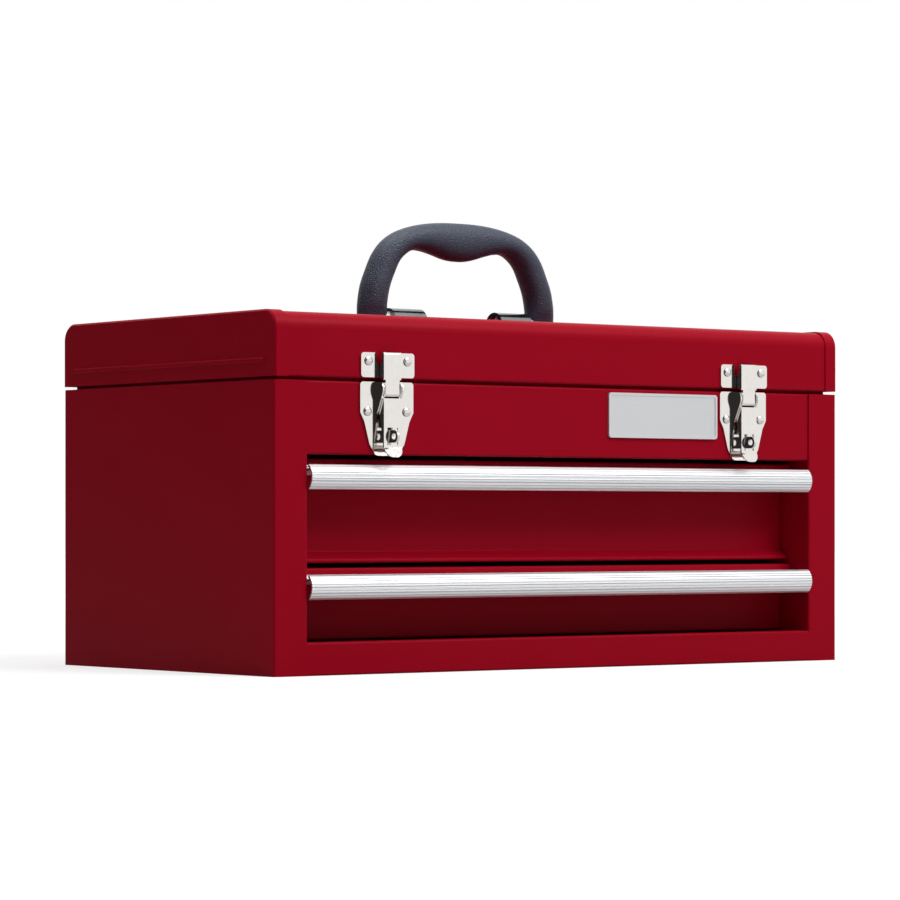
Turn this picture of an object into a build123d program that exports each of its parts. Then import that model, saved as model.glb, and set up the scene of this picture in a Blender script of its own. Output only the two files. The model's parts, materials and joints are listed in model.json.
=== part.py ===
"""Portable tool chest of painted sheet steel: a cabinet with two drawers and a hinged lid with a handle.

Millimetres.  X runs to the right along the front, Y to the rear and Z up.
The origin is the centre of the cabinet's footprint, on the surface that it stands on.
"""
import os
from math import cos, radians, sin

from build123d import *

# ---------------------------------------------------------------- driving sizes
# cabinet
width = 450.0              # over the side panels
depth = 236.0              # over the front and rear stiles
body_height = 175.3        # to the cabinet's top fold
sheet = 1.0                # steel of the cabinet, lid and drawers
bend = 1.4                 # radius of a sheet's fold
stile_width = 24.0         # front flange of a side panel
rear_stile_width = 12.0    # rear flange of a side panel
stile_return = 44.0        # how far the stile's edge is folded into the drawer bay
lower_rail_height = 19.8
top_rail_height = 43.8     # from the drawer bay to the cabinet's top fold
rail_fold = 15.0           # flange along the drawer bay's top edge
sill_fold = 10.0           # flange along the drawer bay's bottom edge
floor_fold = 10.0          # side flange of the compartment's floor
lip_inset = 5.4            # from the cabinet's face to the upright lip that the lid closes over
lip_height = 7.7

# lid
lid_gap = 2.0              # open seam between cabinet and lid
lid_height = 38.9
lid_fold_radius = 10.0     # front and rear top edges
lid_hem = 4.0              # flange folded in along the lid's bottom edge
cap_sheet = 0.8            # steel of the lid's end caps
cap_flange = 9.75          # how far a cap laps over the lid panel
cap_edge_chamfer = 1.1
bead_height = 3.0          # raised bead along a cap
bead_rise = 1.0
bead_above_hem = 9.7       # from the lid's bottom edge to the bead's middle
bead_end_margin = 10.3

# drawers
lower_front_height = 43.2
drawer_top_gap = 2.3       # upper drawer to the bay's top edge
drawer_gap = 3.0           # between the drawers
sill_gap = 0.6             # lower drawer to the bay's bottom edge
drawer_side_gap = 0.6      # drawer front to the stile's return
recess = 27.7              # from the cabinet's face back to the drawer's panel
strip_setback = 17.0       # from the cabinet's face back to the strip that carries the pull
strip_drop = 15.0          # height of that strip
lip_rise = 6.8             # height of the upper drawer's slanting toe
front_hem = 8.0            # flanges folded back at a drawer front's top
toe_fold = 22.0            # flange folded back under the tray
tray_depth = 193.0
tray_top_drop = 6.0        # from the drawer front's top down to the tray's rim
tray_hem = 3.0

# drawer pulls
pull_height = 14.8
pull_bulge = 4.0           # how far the pull stands in front of the cabinet's face
pull_wall = 1.4
pull_drop = 3.7            # from the drawer front's top down to the pull's upper edge
pull_side_gap = 0.7
pull_web_height = 4.2      # web above the pull's middle
pull_foot_height = 6.0
rib_count = 9
rib_groove = 0.45          # half the width of the grooves between the ribs
rib_spread = 66.0          # degrees of the pull's arc that carry grooves

# drawer runners and guides
slide_space = 11.0         # between the tray's side and the stile's return
slide_sheet = 1.2
guide_height = 16.0
slide_clearance = 0.3
guide_front_gap = 2.0      # behind the drawer's panel
runner_front_gap = 4.0
runner_length = 186.0
guide_tab = 14.0

# latches, measured outward from the cabinet's face and in height
latch_end_margin = 82.0    # from the cabinet's end to the latch's middle
latch_width = 39.5
latch_plate = 1.2
latch_corner = 2.0
# keeper on the lid, with the catch that the claw holds
keeper_height = 14.9
keeper_above_hem = 0.6
keeper_tab_width = 11.2
keeper_bridge = 8.2        # height of the plate between its two tabs
catch_foot_rise = 2.2
catch_stand_off = 3.4
catch_width = 9.6
catch_bend = 1.2
# base plate on the cabinet
base_drop = 44.3           # from the cabinet's top fold to the base plate's lower end
base_shoulder = 18.3       # from the top fold down to where the plate narrows
base_hip = 23.8
base_hip_width = 33.6
base_waist = 37.3
base_waist_width = 26.0
base_foot_width = 17.0
base_foot_radius = 5.0
cheek_sheet = 1.0
cheek_gap = 0.2            # between cheek, lever and claw
cheek_drop = 22.0
cheek_corner = 0.9
staple_sheet = 1.6
staple_hole_radius = 2.0
staple_rim = 1.8
staple_out = 8.2
# lever
lever_width = 13.0
lever_sheet = 1.1
lever_face = 6.0           # how far the closed lever's face stands out
lever_length = 35.3        # face plate and thumb tab
lever_pivot_out = 4.6
lever_pivot_drop = 2.1     # below the cabinet's top fold
lever_top_gap = 0.8        # between the claw's eye and the lever's face plate
flange_back = 1.4          # rear edge of the lever's flanges
ear_radius = 2.0
ear_sides = 12
thumb_kick = 3.0
thumb_height = 6.2
thumb_bend = 4.0
thumb_radius = 5.5
window_height = 10.5
window_width = 8.0
window_above_thumb = 1.1
# claw
claw_pin_out = 4.3
claw_pin_drop = 5.4        # below the lever's pivot
pin_radius = 1.0
eye_radius = 1.7
running_clearance = 0.05
claw_bend = 2.0
claw_over_keeper = 0.4
claw_shoulder_rise = 1.1   # from the cabinet's top fold to where the claw widens
claw_head_corner = 1.6
claw_head_gap = 0.4        # between the claw's side flanges and the keeper
catch_gap = 0.35           # between the claw's nose and the catch
score_depth = 0.35         # line pressed across the claw
score_width = 0.5
# rivet heads
rivet_spacing = 29.0
rivet_head_radius = 2.75
rivet_head_height = 1.5
keeper_rivet_rise = 9.8
base_rivet_drop = 17.9

# badge
badge_width = 90.4
badge_height = 28.4
badge_thickness = 1.0
badge_rim = 1.6
badge_rim_rise = 0.4
badge_corner = 2.0
badge_latch_gap = 2.55     # between the badge and the right latch
badge_drop = 16.7          # from the cabinet's top fold to the badge's middle

# handle
rod_radius = 4.5
rod_height = 5.6           # rod axis above the lid
rod_inset = 3.0            # rod's end inside the bracket
rod_embed = 14.0           # how far the rod runs into the foot
bracket_inner = 30.5       # from the middle of the lid
bracket_length = 25.0
bracket_radius = 9.3
bracket_seat = 2.8         # height of the arch's centre above the lid
tab_width = 8.0            # tabs that pass through the lid and are folded over inside it
tab_sheet = 1.2
tab_offset = 6.8
tab_fold = 5.0
tab_clearance = 0.1
foot_gap = 1.6             # between bracket and foot
foot_radius = 5.3          # of the foot's end, round the rod's axis
foot_taper = 15.0          # height over the rod's axis at which the foot has its full depth
grip_depth = 18.8
grip_chamfer = 4.6
# right half of the grip's outline: (place along X, height over the rods' axis, corner radius)
grip_outer = [(0, 63.2, 200), (44.0, 60.6, 30), (67.5, 44.0, 26), (78.9, 4.0, 0)]
grip_inner = [(0, 38.0, 60), (38.0, 46.4, 9), (54.0, 28.5, 22), (58.0, 4.0, 0)]
same_place = 0.01          # tolerance for finding a corner by its place

# rear hinge
hinge_length = 400.0
knuckle_count = 3
knuckle_radius = 2.2
knuckle_gap = 0.4
hinge_pin_radius = 1.0
hinge_leaf = 0.8
hinge_leaf_height = 14.0
hinge_clearance = 0.3      # between knuckles and the stiles

# ---------------------------------------------------------------- worked-out places
half_width = width / 2
face = depth / 2                                   # the front face is at y = -face
opening_half = half_width - stile_width
opening_top = body_height - top_rail_height
opening_height = opening_top - lower_rail_height
inner_half = half_width - sheet
fold_relief = bend - sheet                         # inside radius of a fold; flat ends stay clear of it
rail_face = face - sheet                           # front rail and back panel lie behind the stiles
lip_half_x = half_width - lip_inset
lip_half_y = face - lip_inset
lid_bottom = body_height + lid_gap
lid_top = lid_bottom + lid_height

lower_bottom = lower_rail_height + sill_gap
lower_top = lower_bottom + lower_front_height
upper_bottom = lower_top + drawer_gap
upper_top = opening_top - drawer_top_gap
front_half = opening_half - drawer_side_gap
panel_y = -face + recess                           # drawer panel's front surface
strip_y = -face + strip_setback
tray_half = opening_half - slide_space
tray_front = panel_y + sheet
tray_rear = tray_front + tray_depth
slide_reach = slide_space - slide_sheet - slide_clearance
guide_front = tray_front + guide_front_gap
guide_rear = rail_face - sheet
runner_front = tray_front + runner_front_gap

latch_x = half_width - latch_end_margin
latch_centres = {"left": -latch_x, "right": latch_x}
lever_pivot_z = body_height - lever_pivot_drop
claw_pin_z = lever_pivot_z - claw_pin_drop
lever_top = claw_pin_z - eye_radius - lever_top_gap
lever_bottom = lever_top - lever_length
window_bottom = lever_bottom + thumb_height + window_above_thumb
staple_z = window_bottom + window_height / 2
lever_inner = lever_width / 2 - lever_sheet        # inside of the lever's flanges
cheek_inner = lever_width / 2 + cheek_gap
stud_inner = lever_inner + cheek_gap / 2
claw_half = lever_inner - cheek_gap
keeper_bottom = lid_bottom + keeper_above_hem
keeper_top = keeper_bottom + keeper_height
keeper_rivet_z = keeper_bottom + keeper_rivet_rise
base_rivet_z = body_height - base_rivet_drop
claw_top = keeper_top + claw_over_keeper
claw_shoulder = body_height + claw_shoulder_rise
badge_x = latch_x - latch_width / 2 - badge_latch_gap - badge_width / 2
badge_z = body_height - badge_drop

rod_z = lid_top + rod_height
bracket_outer = bracket_inner + bracket_length
bracket_middle = bracket_inner + bracket_length / 2
foot_inner = bracket_outer + foot_gap
tab_places = [(x, y) for x in (-bracket_middle, bracket_middle) for y in (-tab_offset, tab_offset)]

hinge_y = face + knuckle_radius + hinge_clearance
hinge_z = body_height + lid_gap / 2
knuckle_pitch = hinge_length / knuckle_count

os.makedirs("parts", exist_ok=True)


def save(piece, name):
    """Label a finished piece and write its STEP file."""
    piece.part.label = name
    export_step(piece.part, f"parts/{name}.step")


def folded(plane, points, thickness=sheet, radius=bend):
    """Section of a folded sheet: the line is one surface, and the metal lies to the line's right."""
    with BuildSketch(plane) as section:
        with BuildLine():
            FilletPolyline(*points, radius=radius)
            offset(amount=thickness, side=Side.RIGHT)
        make_face()
    return section.sketch


def out(distance, height):
    """A point of a side view, by its distance in front of the cabinet's face and its height."""
    return (-face - distance, height)


# ---------------------------------------------------------------- cabinet
with BuildPart() as side_panel_left:
    # web and rear stile; the front stile stops short of its edge, which differs along its height
    wrap = folded(Plane.XY, [
        (-opening_half - bend, -face),
        (-half_width, -face),
        (-half_width, face),
        (-half_width + rear_stile_width, face),
    ])
    extrude(wrap, amount=body_height)
    # plain edge of the front stile beside the two rails
    with BuildSketch() as plain_edge:
        with Locations((-opening_half - bend / 2, -face + sheet / 2)):
            Rectangle(bend, sheet)
    extrude(amount=lower_rail_height)
    extrude(plain_edge.sketch.moved(Location((0, 0, opening_top))), amount=body_height - opening_top)
    # folded edge beside the drawers
    folded_edge = folded(Plane.XY.offset(lower_rail_height), [
        (-opening_half, -face + stile_return),
        (-opening_half, -face),
        (-opening_half - 2 * bend, -face),
    ])
    extrude(folded_edge, amount=opening_height)
    # top fold and upright lip
    with BuildSketch(Plane.XZ) as top_fold:
        with BuildLine():
            Polyline(
                (-inner_half, body_height - sheet),
                (-inner_half, body_height),
                (-lip_half_x, body_height),
                (-lip_half_x, body_height + lip_height),
                (-lip_half_x + sheet, body_height + lip_height),
                (-lip_half_x + sheet, body_height - sheet),
                close=True,
            )
        make_face()
    extrude(amount=lip_half_y - sheet, both=True)

with BuildPart() as side_panel_right:
    mirror(side_panel_left.part, about=Plane.YZ)

with BuildPart() as bottom_pan:
    rail_section = folded(Plane.YZ, [
        (0, 0),
        (-face, 0),
        (-face, lower_rail_height),
        (-face + sill_fold, lower_rail_height),
    ])
    extrude(rail_section, amount=opening_half, both=True)
    with BuildSketch() as pan:
        Rectangle(2 * (inner_half - fold_relief), 2 * rail_face)
    extrude(amount=sheet)

with BuildPart() as front_top_rail:
    top_rail_section = folded(Plane.YZ, [
        (-rail_face + rail_fold, opening_top),
        (-rail_face, opening_top),
        (-rail_face, body_height),
        (-lip_half_y, body_height),
        (-lip_half_y, body_height + lip_height),
    ])
    extrude(top_rail_section, amount=lip_half_x - sheet, both=True)
    # the rail's ends run on behind the stiles
    with BuildSketch(Plane.XZ.offset(rail_face)) as rail_ends:
        with Locations((0, (opening_top + body_height) / 2)):
            Rectangle(2 * (inner_half - fold_relief), body_height - opening_top - 2 * (sheet + bend))
    extrude(amount=-sheet)

with BuildPart() as back_panel:
    back_section = folded(Plane.YZ, [
        (lip_half_y, body_height + lip_height),
        (lip_half_y, body_height),
        (rail_face, body_height),
        (rail_face, sheet),
    ])
    extrude(back_section, amount=lip_half_x - sheet, both=True)
    with BuildSketch(Plane.XZ.offset(-rail_face)) as back_ends:
        with Locations((0, (body_height - bend) / 2)):
            Rectangle(2 * (inner_half - fold_relief), body_height - bend - 2 * sheet)
    extrude(amount=sheet)

with BuildPart() as compartment_floor:
    floor_section = folded(Plane.XZ, [
        (-inner_half, opening_top + sheet - floor_fold),
        (-inner_half, opening_top + 2 * sheet),
        (inner_half, opening_top + 2 * sheet),
        (inner_half, opening_top + sheet - floor_fold),
    ])
    extrude(floor_section, amount=rail_face - sheet - fold_relief, both=True)

save(side_panel_left, "side_panel_left")
save(side_panel_right, "side_panel_right")
save(bottom_pan, "bottom_pan")
save(front_top_rail, "front_top_rail")
save(back_panel, "back_panel")
save(compartment_floor, "compartment_floor")

with BuildPart() as badge_plate:
    with BuildSketch(Plane.XZ.offset(rail_face)) as badge_outline:
        with Locations((badge_x, badge_z)):
            RectangleRounded(badge_width, badge_height, badge_corner)
    extrude(amount=badge_thickness)
    with BuildSketch(Plane.XZ.offset(rail_face + badge_thickness)) as badge_border:
        with Locations((badge_x, badge_z)):
            RectangleRounded(badge_width, badge_height, badge_corner)
            RectangleRounded(
                badge_width - 2 * badge_rim,
                badge_height - 2 * badge_rim,
                badge_corner / 2,
                mode=Mode.SUBTRACT,
            )
    extrude(amount=badge_rim_rise)
save(badge_plate, "badge_plate")

# ---------------------------------------------------------------- lid
with BuildPart() as lid_panel:
    lid_section = folded(
        Plane.YZ,
        [
            (-face + lid_hem, lid_bottom),
            (-face, lid_bottom),
            (-face, lid_top),
            (face, lid_top),
            (face, lid_bottom),
            (face - lid_hem, lid_bottom),
        ],
        radius=[bend, lid_fold_radius, lid_fold_radius, bend],
    )
    extrude(lid_section, amount=half_width - cap_sheet, both=True)
    with Locations(*[(x, y, lid_top) for x, y in tab_places]):
        Box(tab_width + 2 * tab_clearance, tab_sheet + 2 * tab_clearance, 4 * sheet, mode=Mode.SUBTRACT)

with BuildPart() as lid_end_left:
    # cap standing proud of the lid panel that it laps over
    with BuildSketch(Plane.YZ.offset(-half_width)) as cap_outline:
        with Locations((0, lid_bottom + (lid_height + cap_sheet) / 2)):
            Rectangle(depth + 2 * cap_sheet, lid_height + cap_sheet)
        fillet(cap_outline.vertices().group_by(Axis.Y)[-1], lid_fold_radius + cap_sheet)
    extrude(amount=cap_flange)
    cap_rim = edges().filter_by_position(Axis.X, -half_width, -half_width).sort_by(Axis.Z)[1:]
    chamfer(cap_rim, cap_edge_chamfer)
    with BuildSketch(Plane.YZ.offset(-half_width + cap_sheet)) as cap_hollow:
        with Locations((0, lid_bottom + lid_height / 2)):
            Rectangle(depth, lid_height)
        fillet(cap_hollow.vertices().group_by(Axis.Y)[-1], lid_fold_radius)
    extrude(amount=cap_flange, mode=Mode.SUBTRACT)
    # hem between the lid panel's own hems
    with BuildSketch(Plane.XY.offset(lid_bottom)) as cap_hem:
        with Locations((-half_width + cap_sheet + (lid_hem - cap_sheet) / 2, 0)):
            Rectangle(lid_hem - cap_sheet, depth - 2 * lid_hem)
    extrude(amount=cap_sheet)
    # raised bead along the cap
    with BuildSketch(Plane.YZ.offset(-half_width)) as bead:
        with Locations((0, lid_bottom + bead_above_hem)):
            Rectangle(depth - 2 * bead_end_margin, bead_height)
    extrude(amount=-bead_rise, taper=35)

with BuildPart() as lid_end_right:
    mirror(lid_end_left.part, about=Plane.YZ)

save(lid_panel, "lid_panel")
save(lid_end_left, "lid_end_left")
save(lid_end_right, "lid_end_right")

# ---------------------------------------------------------------- drawers
def drawer_front(top, bottom, with_toe):
    """Folded front: strip for the pull, recessed panel and, on the upper drawer, a slanting toe."""
    step_z = top - strip_drop
    points = [
        (panel_y + front_hem, top),
        (strip_y, top),
        (strip_y, step_z),
        (panel_y, step_z),
    ]
    if with_toe:
        points += [(panel_y, bottom + lip_rise), (strip_y, bottom)]
    else:
        points += [(panel_y, bottom)]
    points += [(tray_front + toe_fold, bottom)]
    with BuildPart() as front:
        extrude(folded(Plane.YZ, points[::-1]), amount=front_half, both=True)
    return front


def drawer_tray(top, bottom):
    """Open tray with its rim folded inward."""
    floor_z = bottom + sheet + fold_relief
    rim_z = top - tray_top_drop
    middle = Plane.XY.offset(floor_z).move(Location((0, (tray_front + tray_rear) / 2, 0)))
    rim = middle.offset(rim_z - floor_z - sheet)
    with BuildPart() as tray:
        with BuildSketch(middle):
            Rectangle(2 * tray_half, tray_depth)
        extrude(amount=rim_z - floor_z)
        with BuildSketch(middle.offset(sheet)):
            Rectangle(2 * (tray_half - sheet), tray_depth - 2 * sheet)
        extrude(amount=rim_z - floor_z - 2 * sheet, mode=Mode.SUBTRACT)
        with BuildSketch(rim):
            Rectangle(2 * (tray_half - tray_hem), tray_depth - 2 * tray_hem)
        extrude(amount=sheet, mode=Mode.SUBTRACT)
    return tray


def drawer_pull(top):
    """Extruded pull: a ribbed arc, a web behind it and a foot on the drawer's strip."""
    middle_z = top - pull_drop - pull_height / 2
    half = pull_height / 2
    arc_radius = (half ** 2 + pull_bulge ** 2) / (2 * pull_bulge)
    arc_centre = pull_bulge - arc_radius
    groove_angles = [rib_spread * (i / (rib_count - 1) - 0.5) for i in range(rib_count)]
    grooves = [
        out(arc_centre + arc_radius * cos(radians(a)), middle_z + arc_radius * sin(radians(a)))
        for a in groove_angles
    ]
    web_z = middle_z + pull_web_height
    web_end = -strip_setback
    with BuildPart() as pull:
        with BuildSketch(Plane.YZ):
            with BuildLine():
                ThreePointArc(
                    out(0, middle_z - half),
                    out(pull_bulge, middle_z),
                    out(0, middle_z + half),
                )
                offset(amount=pull_wall, side=Side.RIGHT)
            make_face()
            with Locations(out((web_end + pull_bulge / 2) / 2, web_z)):
                Rectangle(pull_bulge / 2 - web_end, pull_wall)
            with Locations(out(web_end + pull_wall / 2, web_z)):
                Rectangle(pull_wall, pull_foot_height)
            with Locations(*grooves):
                RegularPolygon(rib_groove, 4, mode=Mode.SUBTRACT)
        extrude(amount=opening_half - pull_side_gap, both=True)
    return pull


def guide_middle(top, bottom):
    """Height of the middle of a drawer's guides."""
    return (top - tray_top_drop + bottom) / 2


def drawer_guide(side, middle_z):
    """Channel on the stile's return and, by a tab, on the back panel; it opens towards the drawer."""
    with BuildPart() as guide:
        with BuildSketch(Plane.XZ.offset(-guide_front)):
            with Locations((side * (opening_half - slide_reach / 2), middle_z)):
                Rectangle(slide_reach, guide_height)
            with Locations((side * (opening_half - slide_sheet - slide_reach / 2), middle_z)):
                Rectangle(slide_reach, guide_height - 2 * slide_sheet, mode=Mode.SUBTRACT)
        extrude(amount=-(guide_rear - guide_front))
        with BuildSketch(Plane.XZ.offset(-guide_rear)):
            with Locations((side * (opening_half + guide_tab / 2 - slide_sheet / 2), middle_z)):
                Rectangle(guide_tab + slide_sheet, guide_height)
        extrude(amount=slide_sheet)
    return guide


def drawer_runner(side, middle_z):
    """Channel spot-welded to the tray's side; it opens outward and slides inside the guide."""
    height = guide_height - 2 * (slide_sheet + slide_clearance)
    with BuildPart() as runner:
        with BuildSketch(Plane.XZ.offset(-runner_front)):
            with Locations((side * (tray_half + slide_reach / 2), middle_z)):
                Rectangle(slide_reach, height)
            with Locations((side * (tray_half + slide_sheet + slide_reach / 2), middle_z)):
                Rectangle(slide_reach, height - 2 * slide_sheet, mode=Mode.SUBTRACT)
        extrude(amount=-runner_length)
    return runner


drawers = {"upper": (upper_top, upper_bottom, True), "lower": (lower_top, lower_bottom, False)}
for level, (top, bottom, with_toe) in drawers.items():
    slide_z = guide_middle(top, bottom)
    save(drawer_front(top, bottom, with_toe), f"drawer_front_{level}")
    save(drawer_tray(top, bottom), f"drawer_tray_{level}")
    save(drawer_pull(top), f"drawer_pull_{level}")
    for hand, side in (("left", -1), ("right", 1)):
        save(drawer_guide(side, slide_z), f"guide_{level}_{hand}")
        save(drawer_runner(side, slide_z), f"runner_{level}_{hand}")

# ---------------------------------------------------------------- rear hinge
def hinge_half(points, first):
    """Leaf with every second knuckle, starting at the given one."""
    jog, leaf_end = points[-2], points[0]
    with BuildPart() as leaf:
        with BuildSketch(Plane.YZ):
            with Locations(((jog[0] + leaf_end[0] + hinge_leaf) / 2, (jog[1] + leaf_end[1]) / 2)):
                Rectangle(hinge_leaf, abs(leaf_end[1] - jog[1]))
        extrude(amount=hinge_length / 2, both=True)
        for i in range(first, knuckle_count, 2):
            start = -hinge_length / 2 + i * knuckle_pitch + knuckle_gap / 2
            with BuildSketch(Plane.YZ.offset(start)):
                with BuildLine():
                    Polyline(*points)
                    offset(amount=hinge_leaf, side=Side.RIGHT if points[0][1] < hinge_z else Side.LEFT)
                make_face()
                with Locations((hinge_y, hinge_z)):
                    Circle(knuckle_radius)
            extrude(amount=knuckle_pitch - knuckle_gap)
        with Locations((0, hinge_y, hinge_z)):
            Cylinder(hinge_pin_radius + running_clearance, 2 * hinge_length, rotation=(0, 90, 0),
                     mode=Mode.SUBTRACT)
    return leaf


hinge_leaf_body = hinge_half([
    (rail_face, hinge_z - knuckle_radius - hinge_leaf_height),
    (rail_face, hinge_z - 2 * knuckle_radius),
    (hinge_y - knuckle_radius / 2, hinge_z - knuckle_radius / 2),
], first=0)
hinge_leaf_lid = hinge_half([
    (face, hinge_z + knuckle_radius + hinge_leaf_height),
    (face, hinge_z + 2 * knuckle_radius),
    (hinge_y - knuckle_radius / 2, hinge_z + knuckle_radius / 2),
], first=1)
with BuildPart() as hinge_pin:
    with Locations((0, hinge_y, hinge_z)):
        Cylinder(hinge_pin_radius, hinge_length, rotation=(0, 90, 0))
save(hinge_leaf_body, "hinge_leaf_body")
save(hinge_leaf_lid, "hinge_leaf_lid")
save(hinge_pin, "hinge_pin")

# ---------------------------------------------------------------- latches
def side_plate(x, side, inner, thickness):
    """Plane of a plate that stands on edge beside the latch's middle, and the thickness to extrude."""
    return Plane.YZ.offset(x + side * inner), side * thickness


def latch_keeper(x):
    """Plate on the lid: two riveted tabs, a bridge between them and the catch that the claw holds."""
    catch_foot = keeper_bottom + catch_foot_rise
    catch_knee = catch_foot + catch_stand_off - latch_plate
    with BuildPart() as keeper:
        with BuildSketch(Plane.XZ.offset(face)):
            with Locations((x, keeper_bottom + keeper_height / 2)):
                RectangleRounded(latch_width, keeper_height, latch_corner)
            with Locations((x, keeper_bottom + keeper_bridge + keeper_height / 2)):
                Rectangle(latch_width - 2 * keeper_tab_width, keeper_height, mode=Mode.SUBTRACT)
        extrude(amount=latch_plate)
        tongue = folded(Plane.YZ.offset(x), [
            out(latch_plate, catch_foot),
            out(catch_stand_off, catch_knee),
            out(catch_stand_off, keeper_top - latch_corner),
        ], thickness=lever_sheet, radius=catch_bend)
        extrude(tongue, amount=catch_width / 2, both=True)
    return keeper


def latch_base(x):
    """Shield plate on the cabinet: two cheeks with the lever's studs, and a padlock staple."""
    half_outline = [
        (latch_width / 2, body_height),
        (latch_width / 2, body_height - base_shoulder),
        (base_hip_width / 2, body_height - base_hip),
        (base_waist_width / 2, body_height - base_waist),
        (base_foot_width / 2, body_height - base_drop),
    ]
    outline = [(x + a, z) for a, z in half_outline] + [(x - a, z) for a, z in reversed(half_outline)]
    cheek_line = [
        out(-sheet, body_height),
        out(lever_pivot_out, body_height),
        out(lever_pivot_out + ear_radius, lever_pivot_z),
        out(lever_pivot_out + ear_radius, lever_pivot_z - 2 * ear_radius),
        out(-sheet, body_height - cheek_drop),
    ]
    with BuildPart() as base:
        with BuildSketch(Plane.XZ.offset(rail_face)) as shield:
            with BuildLine():
                Polyline(*outline, close=True)
            make_face()
            fillet(shield.vertices().group_by(Axis.Y)[-1], latch_corner)
            fillet(shield.vertices().group_by(Axis.Y)[0], base_foot_radius)
            with Locations((x, lever_pivot_z - cheek_drop / 2)):
                Rectangle(2 * cheek_inner, cheek_drop - 2 * ear_radius, mode=Mode.SUBTRACT)
        extrude(amount=latch_plate)
        for side in (-1, 1):
            plane, thickness = side_plate(x, side, cheek_inner, cheek_sheet)
            with BuildSketch(plane) as cheek:
                with BuildLine():
                    Polyline(*cheek_line, close=True)
                make_face()
                chamfer(cheek.vertices().sort_by(Axis.X)[:3], cheek_corner)
            extrude(amount=thickness)
            # the stud stops short of the claw, which swings between the lever's ears
            stud_middle = x + side * (stud_inner + cheek_inner) / 2
            with Locations((stud_middle, -face - lever_pivot_out, lever_pivot_z)):
                Cylinder(pin_radius, cheek_inner - stud_inner, rotation=(0, 90, 0))
        with BuildSketch(Plane.YZ.offset(x)):
            with Locations(out((staple_out - sheet) / 2, staple_z)):
                Rectangle(staple_out + sheet, 2 * (staple_hole_radius + staple_rim))
            with Locations(out(staple_out, staple_z)):
                Circle(staple_hole_radius + staple_rim)
                Circle(staple_hole_radius, mode=Mode.SUBTRACT)
        extrude(amount=staple_sheet / 2, both=True)
    return base


def latch_lever(x):
    """Face plate with side flanges, pivot ears, a window over the staple and a kicked-out thumb tab."""
    thumb_top = lever_bottom + thumb_height
    back = lever_face - lever_sheet
    flange_line = [
        out(claw_pin_out - ear_radius, claw_pin_z),
        out(flange_back, lever_top - ear_radius),
        out(flange_back, base_rivet_z - ear_radius),
        out(back, window_bottom + ear_radius),
        out(back, claw_pin_z),
    ]
    with BuildPart() as lever:
        plate = folded(Plane.YZ.offset(x), [
            out(lever_face + thumb_kick, lever_bottom),
            out(lever_face, thumb_top),
            out(lever_face, lever_top),
        ], thickness=lever_sheet, radius=thumb_bend)
        extrude(plate, amount=lever_width / 2, both=True)
        with BuildSketch(Plane.XZ.offset(face)) as front_outline:
            with Locations((x, (lever_bottom + lever_top) / 2)):
                Rectangle(lever_width, lever_top - lever_bottom)
            fillet(front_outline.vertices().group_by(Axis.Y)[0], thumb_radius)
        extrude(amount=lever_face + 2 * thumb_kick, mode=Mode.INTERSECT)
        with BuildSketch(Plane.XZ.offset(face)):
            with Locations((x, staple_z)):
                Rectangle(window_width, window_height)
        extrude(amount=2 * lever_face, mode=Mode.SUBTRACT)
        for side in (-1, 1):
            plane, thickness = side_plate(x, side, lever_inner, lever_sheet)
            with BuildSketch(plane):
                with Locations(out(lever_pivot_out, lever_pivot_z), out(claw_pin_out, claw_pin_z)):
                    RegularPolygon(ear_radius, ear_sides)
                make_hull()
            extrude(amount=thickness)
            with BuildSketch(plane):
                with BuildLine():
                    Polyline(*flange_line, close=True)
                make_face()
            extrude(amount=thickness)
        with Locations((x, -face - lever_pivot_out, lever_pivot_z)):
            Cylinder(pin_radius + running_clearance, 2 * lever_width, rotation=(0, 90, 0),
                     mode=Mode.SUBTRACT)
        with Locations((x, -face - claw_pin_out, claw_pin_z)):
            Cylinder(pin_radius, 2 * lever_width, rotation=(0, 90, 0), mode=Mode.SUBTRACT)
    return lever


def latch_claw(x):
    """Draw claw: an eye on the lever's pin, a narrow strap and a flanged head that grips the catch."""
    nose = catch_stand_off + catch_gap
    head_back = latch_plate + claw_head_gap
    with BuildPart() as claw:
        strap = folded(Plane.YZ.offset(x), [
            out(lever_face, claw_pin_z),
            out(lever_face, claw_top),
            out(nose, claw_top),
        ], thickness=lever_sheet, radius=claw_bend)
        extrude(strap, amount=lever_width / 2, both=True)
        with Locations(*[(x + s * (claw_half + lever_width / 2), -face - lever_face, claw_shoulder)
                         for s in (-1, 1)]):
            Box(lever_width, 2 * lever_face, 2 * (claw_shoulder - claw_pin_z + 2 * eye_radius),
                align=(Align.CENTER, Align.CENTER, Align.MAX), mode=Mode.SUBTRACT)
        for side in (-1, 1):
            plane, thickness = side_plate(x, side, lever_inner, lever_sheet)
            with BuildSketch(plane) as head_side:
                with Locations(out((head_back + lever_face) / 2, (claw_shoulder + claw_top) / 2)):
                    Rectangle(lever_face - head_back, claw_top - claw_shoulder)
                fillet(head_side.vertices().group_by(Axis.Y)[-1], claw_head_corner)
            extrude(amount=thickness)
        with Locations((x, -face - claw_pin_out, claw_pin_z)):
            Cylinder(eye_radius, 2 * claw_half, rotation=(0, 90, 0))
            Cylinder(pin_radius + running_clearance, 2 * lever_width, rotation=(0, 90, 0),
                     mode=Mode.SUBTRACT)
        with Locations((x, -face - lever_face, claw_shoulder + score_depth)):
            Box(2 * lever_width, 2 * score_depth, score_width, mode=Mode.SUBTRACT)
    return claw


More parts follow.
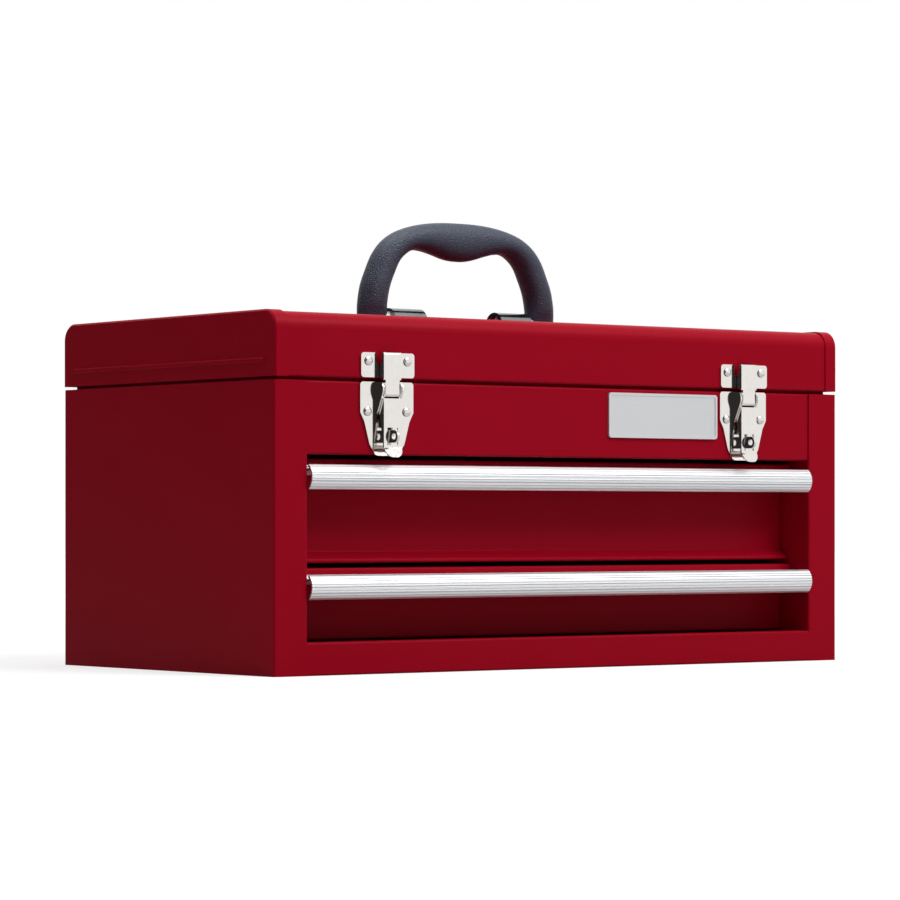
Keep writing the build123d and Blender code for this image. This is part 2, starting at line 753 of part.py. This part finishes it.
for hand, x in latch_centres.items():
    save(latch_keeper(x), f"latch_keeper_{hand}")
    save(latch_base(x), f"latch_base_{hand}")
    save(latch_lever(x), f"latch_lever_{hand}")
    save(latch_claw(x), f"latch_claw_{hand}")
    with BuildPart() as claw_pin:
        with Locations((x, -face - claw_pin_out, claw_pin_z)):
            Cylinder(pin_radius, lever_width, rotation=(0, 90, 0))
    save(claw_pin, f"claw_pin_{hand}")

rivet_columns = [x + side * rivet_spacing / 2 for x in latch_centres.values() for side in (-1, 1)]
rivet_rows = {
    "latch_base_rivets": (-rail_face - latch_plate, base_rivet_z),
    "latch_keeper_rivets": (-face - latch_plate, keeper_rivet_z),
}
for name, (plate_y, rivet_z) in rivet_rows.items():
    with BuildPart() as rivet_heads:
        with Locations(*[(x, plate_y, rivet_z) for x in rivet_columns]):
            Cylinder(rivet_head_radius, rivet_head_height, rotation=(90, 0, 0),
                     align=(Align.CENTER, Align.CENTER, Align.MIN))
    save(rivet_heads, name)

# ---------------------------------------------------------------- handle
with BuildPart() as handle_grip:
    foot_bottom = rod_z - foot_radius
    outer = [(x, rod_z + height) for x, height, radius in grip_outer]
    inner = [(x, rod_z + height) for x, height, radius in grip_inner]
    right_half = [*outer, (outer[-1][0], foot_bottom), (inner[-1][0], foot_bottom), *inner[::-1]]
    left_half = [(-x, z) for x, z in right_half[-2:0:-1]]
    with BuildSketch(Plane.XZ) as grip_outline:
        with BuildLine():
            Polyline(*right_half, *left_half, close=True)
        make_face()
        for x, height, radius in grip_outer[:-1] + grip_inner[:-1]:
            fillet([corner for corner in grip_outline.vertices()
                    if abs(abs(corner.X) - x) < same_place
                    and abs(corner.Y - rod_z - height) < same_place], radius)
    extrude(amount=grip_depth / 2, both=True)
    flat_sides = faces().group_by(Axis.Y)
    long_edges = (flat_sides[0].edges() + flat_sides[-1].edges()).filter_by(
        lambda edge: edge.center().Z > foot_bottom + same_place)
    chamfer(long_edges, grip_chamfer)
    # the feet narrow to a round end about the rods' axis, so that the handle can fold
    with BuildSketch(Plane.YZ):
        with Locations((0, rod_z)):
            Circle(foot_radius)
        with Locations((0, rod_z + foot_taper)):
            Rectangle(grip_depth, outer[0][1] - rod_z, align=(Align.CENTER, Align.MIN))
        make_hull()
    extrude(amount=outer[-1][0], both=True, mode=Mode.INTERSECT)
    with Locations(*[(side * (foot_inner + rod_embed / 2), 0, rod_z) for side in (-1, 1)]):
        Cylinder(rod_radius, rod_embed, rotation=(0, 90, 0), mode=Mode.SUBTRACT)
save(handle_grip, "handle_grip")

for hand, side in (("left", -1), ("right", 1)):
    rod_start = bracket_inner + rod_inset
    rod_end = foot_inner + rod_embed
    with BuildPart() as handle_rod:
        with Locations((side * (rod_start + rod_end) / 2, 0, rod_z)):
            Cylinder(rod_radius, rod_end - rod_start, rotation=(0, 90, 0))
    save(handle_rod, f"handle_rod_{hand}")

    with BuildPart() as handle_bracket:
        with BuildSketch(Plane.YZ.offset(side * bracket_inner)):
            with Locations((0, lid_top + bracket_seat)):
                Circle(bracket_radius)
            with Locations((0, lid_top)):
                Rectangle(4 * bracket_radius, 4 * bracket_radius, align=(Align.CENTER, Align.MAX),
                          mode=Mode.SUBTRACT)
            with Locations((0, rod_z)):
                Circle(rod_radius + running_clearance, mode=Mode.SUBTRACT)
        extrude(amount=side * bracket_length)
        # tabs through the lid, each folded outward under it
        for away in (-1, 1):
            with Locations((side * bracket_middle, away * tab_offset, lid_top - sheet - tab_sheet)):
                Box(tab_width, tab_sheet, sheet + 2 * tab_sheet,
                    align=(Align.CENTER, Align.CENTER, Align.MIN))
            with Locations((side * bracket_middle, away * (tab_offset + tab_fold / 2), lid_top - sheet)):
                Box(tab_width, tab_fold, tab_sheet, align=(Align.CENTER, Align.CENTER, Align.MAX))
    save(handle_bracket, f"handle_bracket_{hand}")
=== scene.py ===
"""Looks of the portable tool chest: materials, fine pieces, floor, light and camera.

Metres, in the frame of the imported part: X to the right along the front, Y to the rear, Z up.
"""
import json
import math

import bmesh
import bpy
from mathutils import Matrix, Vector


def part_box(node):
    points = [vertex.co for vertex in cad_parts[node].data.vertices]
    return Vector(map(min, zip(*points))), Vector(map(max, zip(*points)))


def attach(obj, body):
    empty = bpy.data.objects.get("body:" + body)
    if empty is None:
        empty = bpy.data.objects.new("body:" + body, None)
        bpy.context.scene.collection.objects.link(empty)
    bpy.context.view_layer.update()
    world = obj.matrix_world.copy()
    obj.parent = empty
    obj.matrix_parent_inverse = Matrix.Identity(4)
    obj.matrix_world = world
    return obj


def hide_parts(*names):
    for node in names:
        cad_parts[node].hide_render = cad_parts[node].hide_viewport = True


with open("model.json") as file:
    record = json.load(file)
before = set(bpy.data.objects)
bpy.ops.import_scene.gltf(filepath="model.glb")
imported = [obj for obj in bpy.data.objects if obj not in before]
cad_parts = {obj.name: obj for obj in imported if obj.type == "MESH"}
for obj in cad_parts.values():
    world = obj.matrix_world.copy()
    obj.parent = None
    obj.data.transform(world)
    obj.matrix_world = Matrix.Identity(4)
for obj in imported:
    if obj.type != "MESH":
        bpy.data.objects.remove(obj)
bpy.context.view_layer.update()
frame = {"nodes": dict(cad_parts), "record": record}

MM = 0.001

rib_pitch = 1.75 * MM         # of the ribs along the drawer pulls
rivet_spacing = 29.0 * MM     # between the two rivets of a latch plate


# ---------------------------------------------------------------- shader helpers
def map_range(tree, value, low, high, start, end):
    """Node that moves the value from the range start..end to low..high."""
    node = tree.nodes.new("ShaderNodeMapRange")
    for socket, number in (("From Min", start), ("From Max", end), ("To Min", low), ("To Max", high)):
        node.inputs[socket].default_value = number
    tree.links.new(value, node.inputs["Value"])
    return node


class Shader:
    """A material with a Principled shader and short calls for the nodes around it."""

    def __init__(self, name, **sockets):
        self.material = bpy.data.materials.new(name)
        self.material.use_nodes = True
        self.nodes = self.material.node_tree.nodes
        self.links = self.material.node_tree.links
        self.bsdf = self.nodes["Principled BSDF"]
        self.place = self.nodes.new("ShaderNodeTexCoord").outputs["Object"]
        for socket, value in sockets.items():
            self.bsdf.inputs[socket.replace("_", " ")].default_value = value

    def noise(self, size, detail, stretch=(1, 1, 1)):
        """Noise whose lumps are about the given size in metres, longer where stretch is small."""
        mapping = self.nodes.new("ShaderNodeMapping")
        mapping.inputs["Scale"].default_value = stretch
        self.links.new(self.place, mapping.inputs["Vector"])
        noise = self.nodes.new("ShaderNodeTexNoise")
        noise.inputs["Scale"].default_value = 1 / size
        noise.inputs["Detail"].default_value = detail
        self.links.new(mapping.outputs["Vector"], noise.inputs["Vector"])
        return noise.outputs["Fac"]

    def cell_edges(self, size):
        """Distance from the edges of Voronoi cells of about the given size, in metres."""
        cells = self.nodes.new("ShaderNodeTexVoronoi")
        cells.feature = "DISTANCE_TO_EDGE"
        cells.inputs["Scale"].default_value = 1 / size
        self.links.new(self.place, cells.inputs["Vector"])
        return cells.outputs["Distance"]

    def waves(self, pitch, axis):
        """Straight even waves across one axis, a pitch apart in metres."""
        period = math.pi / 10         # of a wave texture whose scale is 1
        waves = self.nodes.new("ShaderNodeTexWave")
        waves.wave_type = "BANDS"
        waves.bands_direction = axis
        waves.inputs["Scale"].default_value = period / pitch
        self.links.new(self.place, waves.inputs["Vector"])
        return waves.outputs["Fac"]

    def along(self, axis):
        """Object coordinate along one axis, in metres."""
        split = self.nodes.new("ShaderNodeSeparateXYZ")
        self.links.new(self.place, split.inputs["Vector"])
        return split.outputs[axis]

    def ranged(self, value, low, high, start=0.0, end=1.0):
        """The value, moved from the range start..end to low..high."""
        return map_range(self.material.node_tree, value, low, high, start, end).outputs["Result"]

    def blend(self, factor, first, second):
        """Two colours mixed by a factor; each is a tuple or a node's output."""
        mix = self.nodes.new("ShaderNodeMix")
        mix.data_type = "RGBA"
        for name, colour in (("A", first), ("B", second)):
            socket = next(s for s in mix.inputs if s.name == name and s.type == "RGBA")
            if isinstance(colour, tuple):
                socket.default_value = (*colour, 1.0)
            else:
                self.links.new(colour, socket)
        self.links.new(factor, mix.inputs["Factor"])
        return next(s for s in mix.outputs if s.type == "RGBA")

    def bump(self, height, depth, strength, under=None):
        """Bump of the given depth in metres; under is a bump that lies beneath it."""
        bump = self.nodes.new("ShaderNodeBump")
        bump.inputs["Distance"].default_value = depth
        bump.inputs["Strength"].default_value = strength
        self.links.new(height, bump.inputs["Height"])
        if under is not None:
            self.links.new(under, bump.inputs["Normal"])
        return bump.outputs["Normal"]

    def set(self, socket, value):
        """Link a node's output to one of the shader's sockets."""
        self.links.new(value, self.bsdf.inputs[socket])


# ---------------------------------------------------------------- materials
def red_paint():
    """Satin powder coat: deep red, with a faint orange peel."""
    deep, bright = (0.355, 0.0010, 0.0125), (0.385, 0.0018, 0.0150)
    shader = Shader("red_paint", Specular_IOR_Level=0.055)
    cloud = shader.noise(size=60 * MM, detail=3)
    gloss = shader.noise(size=18 * MM, detail=4)
    peel = shader.noise(size=1.3 * MM, detail=2)
    shader.set("Base Color", shader.blend(cloud, deep, bright))
    shader.set("Roughness", shader.ranged(gloss, low=0.36, high=0.46))
    shader.set("Normal", shader.bump(peel, depth=0.02 * MM, strength=0.5))
    return shader.material


def pull_aluminium():
    """Extruded aluminium, ribbed along its length, with fine draw lines on the ribs and painted shade
    darkening the grooves between them.
    """
    groove_shade, dull, bright = (0.46, 0.465, 0.49), (0.88, 0.885, 0.90), (0.95, 0.955, 0.965)
    shaded_groove_share = 0.3            # of the wave's height that is painted dark as shade in the grooves
    shader = Shader("pull_aluminium", Metallic=1.0)
    lines = shader.noise(size=0.25 * MM, detail=3, stretch=(0.002, 1, 1))
    ribs = shader.waves(rib_pitch, "Z")
    unshaded_rib = shader.ranged(ribs, low=0.0, high=1.0, end=shaded_groove_share)
    # painted shade: the grooves between the ribs take a much darker base colour than the ribs
    shader.set("Base Color", shader.blend(unshaded_rib, groove_shade, shader.blend(lines, dull, bright)))
    shader.set("Roughness", shader.ranged(lines, low=0.34, high=0.42))
    shader.set("Normal", shader.bump(ribs, depth=0.08 * MM, strength=0.6))
    return shader.material


def plated_steel():
    """Bright nickel plating over pressed steel, which leaves it slightly wavy."""
    dull, bright = (0.76, 0.73, 0.70), (0.84, 0.81, 0.78)
    shader = Shader("plated_steel", Metallic=1.0)
    cloud = shader.noise(size=5 * MM, detail=3)
    smear = shader.noise(size=1.5 * MM, detail=4)
    dents = shader.noise(size=2.5 * MM, detail=2)
    shader.set("Base Color", shader.blend(cloud, dull, bright))
    shader.set("Roughness", shader.ranged(smear, low=0.05, high=0.13))
    shader.set("Normal", shader.bump(dents, depth=0.03 * MM, strength=0.5))
    return shader.material


def rivet_steel(plate_y):
    """Plating of the rivet heads, with a painted dark ring of shade and reflection in the crease where a
    head meets its plate.
    """
    crease_shade, dull, bright = (0.045, 0.040, 0.040), (0.70, 0.68, 0.66), (0.82, 0.80, 0.77)
    crease_shade_start, crease_shade_end = plate_y - 0.25 * MM, plate_y - 0.85 * MM
    shader = Shader("rivet_steel", Metallic=1.0)
    cloud = shader.noise(size=2 * MM, detail=2)
    # painted shade and dark reflection: the heads turn near black and dull over the last fraction of a
    # millimetre towards the plate
    out_of_shade = shader.ranged(shader.along("Y"), low=1.0, high=0.0, start=crease_shade_end, end=crease_shade_start)
    shader.set("Base Color", shader.blend(out_of_shade, crease_shade, shader.blend(cloud, dull, bright)))
    shader.set("Roughness", shader.ranged(out_of_shade, low=0.45, high=0.09))
    return shader.material


def slide_steel():
    """Zinc-plated strip, dull, with rolling lines along its length."""
    dull, bright = (0.46, 0.47, 0.48), (0.62, 0.62, 0.62)
    shader = Shader("slide_steel", Metallic=1.0)
    lines = shader.noise(size=0.6 * MM, detail=4, stretch=(1, 0.01, 1))
    shader.set("Base Color", shader.blend(lines, dull, bright))
    shader.set("Roughness", shader.ranged(lines, low=0.28, high=0.46))
    return shader.material


def badge_metal():
    """Brushed aluminium plate."""
    dull, bright = (0.66, 0.665, 0.68), (0.74, 0.745, 0.76)
    shader = Shader("badge_metal", Metallic=0.6)
    lines = shader.noise(size=0.3 * MM, detail=3, stretch=(0.01, 1, 1))
    shader.set("Base Color", shader.blend(lines, dull, bright))
    shader.set("Roughness", shader.ranged(lines, low=0.38, high=0.5))
    shader.set("Normal", shader.bump(lines, depth=0.008 * MM, strength=0.5))
    return shader.material


def grip_plastic():
    """Moulded grip: blue-black, with a fine leather grain."""
    dark, pale = (0.024, 0.034, 0.060), (0.036, 0.048, 0.082)
    grain_top = 0.4               # distance from a cell's edge at which the grain is at its full height
    shader = Shader("grip_plastic", Specular_IOR_Level=0.42)
    grain = shader.cell_edges(1.5 * MM)
    cloud = shader.noise(size=20 * MM, detail=3)
    wrinkles = shader.noise(size=1.1 * MM, detail=3)
    creases = shader.bump(wrinkles, depth=0.45 * MM, strength=0.8)
    shader.set("Base Color", shader.blend(cloud, dark, pale))
    shader.set("Roughness", shader.ranged(grain, low=0.50, high=0.32, end=grain_top))
    shader.set("Normal", shader.bump(grain, depth=0.4 * MM, strength=0.9, under=creases))
    return shader.material


def bracket_finish():
    """Dark bright plating of the handle's brackets, with faint drawing lines along them."""
    dark, pale = (0.20, 0.21, 0.22), (0.30, 0.31, 0.32)
    shader = Shader("bracket_finish", Metallic=1.0)
    cloud = shader.noise(size=6 * MM, detail=3)
    lines = shader.noise(size=0.5 * MM, detail=3, stretch=(0.02, 1, 1))
    shader.set("Base Color", shader.blend(cloud, dark, pale))
    shader.set("Roughness", shader.ranged(lines, low=0.08, high=0.20))
    shader.set("Normal", shader.bump(lines, depth=0.02 * MM, strength=0.5))
    return shader.material


def rod_steel():
    """Bright drawn steel rod."""
    dull, bright = (0.80, 0.80, 0.79), (0.90, 0.90, 0.89)
    shader = Shader("rod_steel", Metallic=0.45)
    lines = shader.noise(size=0.4 * MM, detail=3, stretch=(0.05, 1, 1))
    shader.set("Base Color", shader.blend(lines, dull, bright))
    shader.set("Roughness", shader.ranged(lines, low=0.12, high=0.24))
    return shader.material


makers = {
    "red_paint": red_paint,
    "pull_aluminium": pull_aluminium,
    "plated_steel": plated_steel,
    "slide_steel": slide_steel,
    "badge_metal": badge_metal,
    "grip_plastic": grip_plastic,
    "bracket_finish": bracket_finish,
    "rod_steel": rod_steel,
}
materials = {slot: make() for slot, make in makers.items()}
for subpart in frame["record"]["subparts"]:
    piece = frame["nodes"][subpart["node"]]
    piece.data.materials.clear()
    piece.data.materials.append(materials[subpart["material_slot"]])


# ---------------------------------------------------------------- pieces
def circle(around):
    """Cosine and sine of evenly spaced angles, once round."""
    angles = [2 * math.pi * i / around for i in range(around)]
    return [(math.cos(angle), math.sin(angle)) for angle in angles]


def skin(name, tubes, material, body):
    """Smooth piece of one or more tubes; each goes through rings of points and is capped at both ends."""
    mesh = bmesh.new()
    for rings in tubes:
        rows = [[mesh.verts.new(point) for point in ring] for ring in rings]
        count = len(rows[0])
        for low, high in zip(rows, rows[1:]):
            for i in range(count):
                j = (i + 1) % count
                mesh.faces.new((low[i], low[j], high[j], high[i]))
        mesh.faces.new(rows[0][::-1])
        mesh.faces.new(rows[-1])
    bmesh.ops.recalc_face_normals(mesh, faces=mesh.faces)
    data = bpy.data.meshes.new(name)
    mesh.to_mesh(data)
    mesh.free()
    data.shade_smooth()
    data.materials.append(material)
    piece = bpy.data.objects.new(name, data)
    bpy.context.scene.collection.objects.link(piece)
    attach(piece, body)
    return piece


def through(rows, steps):
    """Rows of numbers on a smooth curve (Catmull-Rom) through the given rows."""
    result = []
    for i in range(len(rows) - 1):
        before = rows[max(i - 1, 0)]
        start, end = rows[i], rows[i + 1]
        after = rows[min(i + 2, len(rows) - 1)]
        for step in range(steps):
            t = step / steps
            result.append([0.5 * (2 * b + (c - a) * t + (2 * a - 5 * b + 4 * c - d) * t * t
                                  + (3 * b - a - 3 * c + d) * t ** 3)
                           for a, b, c, d in zip(before, start, end, after)])
    result.append(list(rows[-1]))
    return result


def grip():
    """Moulded carrying grip: a full round middle with a finger swell, slim shoulders and rounded feet."""
    # right half, millimetres from the middle and over the rods' axis:
    # outer edge (across, up), inner edge (across, up), half the depth
    stations = [
        (76.6, -5.25, 59.4, -5.25, 0.8),
        (77.8, -4.9, 58.2, -4.9, 2.0),
        (78.6, -3.6, 57.5, -3.6, 3.9),
        (79.1, -0.5, 57.2, -0.5, 5.2),
        (78.9, 4.0, 57.4, 4.0, 6.6),
        (77.9, 10.0, 58.1, 9.5, 8.4),
        (75.4, 20.6, 56.6, 19.6, 9.4),
        (71.4, 30.6, 52.6, 29.2, 9.5),
        (66.6, 40.4, 48.6, 36.6, 9.6),
        (60.2, 48.4, 42.8, 41.8, 9.7),
        (51.0, 54.9, 36.6, 44.3, 9.8),
        (38.4, 59.5, 28.8, 44.0, 9.9),
        (25.0, 62.0, 20.0, 42.0, 10.0),
        (12.0, 63.1, 10.0, 39.2, 10.0),
        (0.0, 63.3, 0.0, 38.2, 10.0),
    ]
    steps = 4                     # rings from one station to the next
    around = 28
    fullness = 0.88               # under 1, the section is fuller than an ellipse
    low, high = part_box("handle_rod_left")
    axis_z = (low[2] + high[2]) / 2
    section = [[math.copysign(abs(part) ** fullness, part) for part in point] for point in circle(around)]
    left = [(-outer_x, outer_h, -inner_x, inner_h, half) for outer_x, outer_h, inner_x, inner_h, half
            in stations[-2::-1]]
    rings = []
    for outer_x, outer_h, inner_x, inner_h, half_depth in through(stations + left, steps):
        middle = ((outer_x + inner_x) / 2, (outer_h + inner_h) / 2)
        reach = ((outer_x - inner_x) / 2, (outer_h - inner_h) / 2)
        rings.append([(MM * (middle[0] + reach[0] * across), MM * half_depth * deep,
                       axis_z + MM * (middle[1] + reach[1] * across)) for across, deep in section])
    piece = skin("grip", [rings], materials["grip_plastic"], "handle")
    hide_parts("handle_grip")


def rod_end(side, hand):
    """Polished domed end of a rod, which shows in the open end of its bracket."""
    # share of the rod's radius, millimetres from the rod's end towards the middle of the lid
    profile = [(0.97, -0.6), (0.97, 0.0), (0.93, 0.45), (0.82, 0.9), (0.64, 1.3), (0.42, 1.55),
               (0.20, 1.66), (0.03, 1.7)]
    around = 40
    low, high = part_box(f"handle_rod_{hand}")
    tip = low[0] if side > 0 else high[0]
    axis_y, axis_z = (low[1] + high[1]) / 2, (low[2] + high[2]) / 2
    radius = (high[2] - low[2]) / 2
    rings = [[(tip - side * rise * MM, axis_y + radius * share * cosine, axis_z + radius * share * sine)
              for cosine, sine in circle(around)] for share, rise in profile]
    skin(f"rod_end_{hand}", [rings], materials["rod_steel"], "handle")


def rivet_heads(node, body):
    """Pan heads with a rounded shoulder, one on each of the node's four places."""
    # share of the head's radius, millimetres off the plate
    profile = [(1.0, 0.0), (1.0, 0.35), (0.975, 0.68), (0.91, 1.0), (0.81, 1.23), (0.68, 1.38),
               (0.50, 1.46), (0.25, 1.49), (0.05, 1.5)]
    around = 32
    low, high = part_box(node)
    radius = (high[2] - low[2]) / 2
    plate_y, middle_z = high[1], (low[2] + high[2]) / 2
    outer_x = high[0] - radius
    tubes = []
    for side in (-1, 1):
        for middle_x in (side * outer_x, side * (outer_x - rivet_spacing)):
            tubes.append([[(middle_x + radius * share * cosine, plate_y - rise * MM,
                            middle_z + radius * share * sine) for cosine, sine in circle(around)]
                          for share, rise in profile])
    piece = skin(f"{node}_domed", tubes, rivet_steel(plate_y), body)
    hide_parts(node)


grip()
rod_end(-1, "left")
rod_end(1, "right")
rivet_heads("latch_base_rivets", "cabinet")
rivet_heads("latch_keeper_rivets", "lid")


# ---------------------------------------------------------------- floor, light and camera
def arithmetic(tree, operation, first, second):
    """Output of a math node; each input is a number or a node's output."""
    node = tree.nodes.new("ShaderNodeMath")
    node.operation = operation
    for socket, value in zip(node.inputs, (first, second)):
        if isinstance(value, float):
            socket.default_value = value
        else:
            tree.links.new(value, socket)
    return node.outputs[0]


def ray_kind(tree, *names):
    """1 for a ray of one of the kinds that Light Path tells apart, and 0 for all others."""
    path = tree.nodes.new("ShaderNodeLightPath")
    kind = path.outputs[names[0]]
    for name in names[1:]:
        kind = arithmetic(tree, "MAXIMUM", kind, path.outputs[name])
    return kind


def plane(name, width, height):
    """Flat rectangle about the origin and the node tree of its new material."""
    x, y = width / 2, height / 2
    mesh = bpy.data.meshes.new(name)
    mesh.from_pydata([(-x, -y, 0), (x, -y, 0), (x, y, 0), (-x, y, 0)], [], [(0, 1, 2, 3)])
    sheet = bpy.data.objects.new(name, mesh)
    bpy.context.scene.collection.objects.link(sheet)
    material = bpy.data.materials.new(name)
    material.use_nodes = True
    mesh.materials.append(material)
    return sheet, material.node_tree


def aim(thing, place, target, front):
    """Put a thing in its place and turn its front axis to the target."""
    thing.location = place
    thing.rotation_euler = (Vector(target) - Vector(place)).to_track_quat(front, "Y").to_euler()


def dark_card(name, place, target, width, height):
    """Dark card beside the set, which shows in reflections alone."""
    card, tree = plane(name, width, height)
    aim(card, place, target, "Z")
    card.visible_camera = False
    card.visible_diffuse = False
    card.visible_shadow = False
    shader = tree.nodes["Principled BSDF"]
    shader.inputs["Base Color"].default_value = (0.02, 0.02, 0.022, 1)
    shader.inputs["Roughness"].default_value = 0.9


def white_floor():
    """Floor that keeps the shadow and shows white; its glow reaches the camera and reflections alone."""
    size = 12.0
    grey = 0.45
    near, far = 0.5, 2.2          # distances from the middle between which the glow rises
    near_glow, far_glow = 0.64, 1.0
    reflected_share = 0.3         # of the glow that reflections show
    floor, tree = plane("floor", size, size)
    nodes, links = tree.nodes, tree.links
    nodes.clear()
    place = nodes.new("ShaderNodeTexCoord")
    distance = nodes.new("ShaderNodeVectorMath")
    distance.operation = "LENGTH"
    rise = map_range(tree, distance.outputs["Value"], near_glow, far_glow, near, far)
    rise.interpolation_type = "SMOOTHSTEP"
    reflected = arithmetic(tree, "MULTIPLY", ray_kind(tree, "Is Glossy Ray", "Is Transmission Ray"),
                           reflected_share)
    seen = arithmetic(tree, "MAXIMUM", ray_kind(tree, "Is Camera Ray"), reflected)
    strength = arithmetic(tree, "MULTIPLY", seen, rise.outputs["Result"])
    diffuse = nodes.new("ShaderNodeBsdfDiffuse")
    diffuse.inputs["Color"].default_value = (grey, grey, grey, 1)
    glow = nodes.new("ShaderNodeEmission")
    both = nodes.new("ShaderNodeAddShader")
    output = nodes.new("ShaderNodeOutputMaterial")
    links.new(place.outputs["Object"], distance.inputs[0])
    links.new(strength, glow.inputs["Strength"])
    links.new(diffuse.outputs[0], both.inputs[0])
    links.new(glow.outputs[0], both.inputs[1])
    links.new(both.outputs[0], output.inputs["Surface"])


def surround():
    """World that is white to the camera and in reflections, and lights the part softly."""
    ambient_strength, white_strength = 0.22, 1.0
    world = bpy.data.worlds.new("studio")
    bpy.context.scene.world = world
    world.use_nodes = True
    tree = world.node_tree
    tree.nodes.clear()
    mix = tree.nodes.new("ShaderNodeMixShader")
    seen = ray_kind(tree, "Is Camera Ray", "Is Glossy Ray", "Is Transmission Ray")
    tree.links.new(seen, mix.inputs["Fac"])
    for socket, strength in zip(mix.inputs[1:], (ambient_strength, white_strength)):
        background = tree.nodes.new("ShaderNodeBackground")
        background.inputs["Color"].default_value = (1, 1, 1, 1)
        background.inputs["Strength"].default_value = strength
        tree.links.new(background.outputs[0], socket)
    output = tree.nodes.new("ShaderNodeOutputWorld")
    tree.links.new(mix.outputs[0], output.inputs["Surface"])


def area_light(name, place, target, size, power):
    """Square soft light that points at the target."""
    light = bpy.data.lights.new(name, "AREA")
    light.shape = "SQUARE"
    light.size = size
    light.energy = power
    lamp = bpy.data.objects.new(name, light)
    bpy.context.scene.collection.objects.link(lamp)
    aim(lamp, place, target, "-Z")


white_floor()
surround()
dark_card("rear_card", place=(-1.0, 0.75, 0.5), target=(0, 0, 0.15), width=1.9, height=1.0)
dark_card("front_card", place=(-1.1, -0.95, 0.55), target=(0, 0, 0.15), width=1.8, height=1.2)
area_light("key", place=(0.7, -1.5, 1.9), target=(0, 0, 0.12), size=1.1, power=35)
area_light("top", place=(-0.2, 0.1, 2.2), target=(0, 0, 0.2), size=1.4, power=24)

# the camera stands level, at the height of the upper drawer, and its frame is shifted up
camera_data = bpy.data.cameras.new("camera")
camera_data.sensor_width = 36.0
camera_data.lens = 147.96
camera_data.shift_y = 0.0793
camera_data.clip_end = 50.0
camera = bpy.data.objects.new("camera", camera_data)
bpy.context.scene.collection.objects.link(camera)
camera.location = (-1.4580, -1.9107, 0.0916)
camera.rotation_euler = (math.radians(90), 0, math.radians(-37.24))
bpy.context.scene.camera = camera
bpy.context.scene.view_settings.view_transform = "Standard"

bpy.context.view_layer.update()
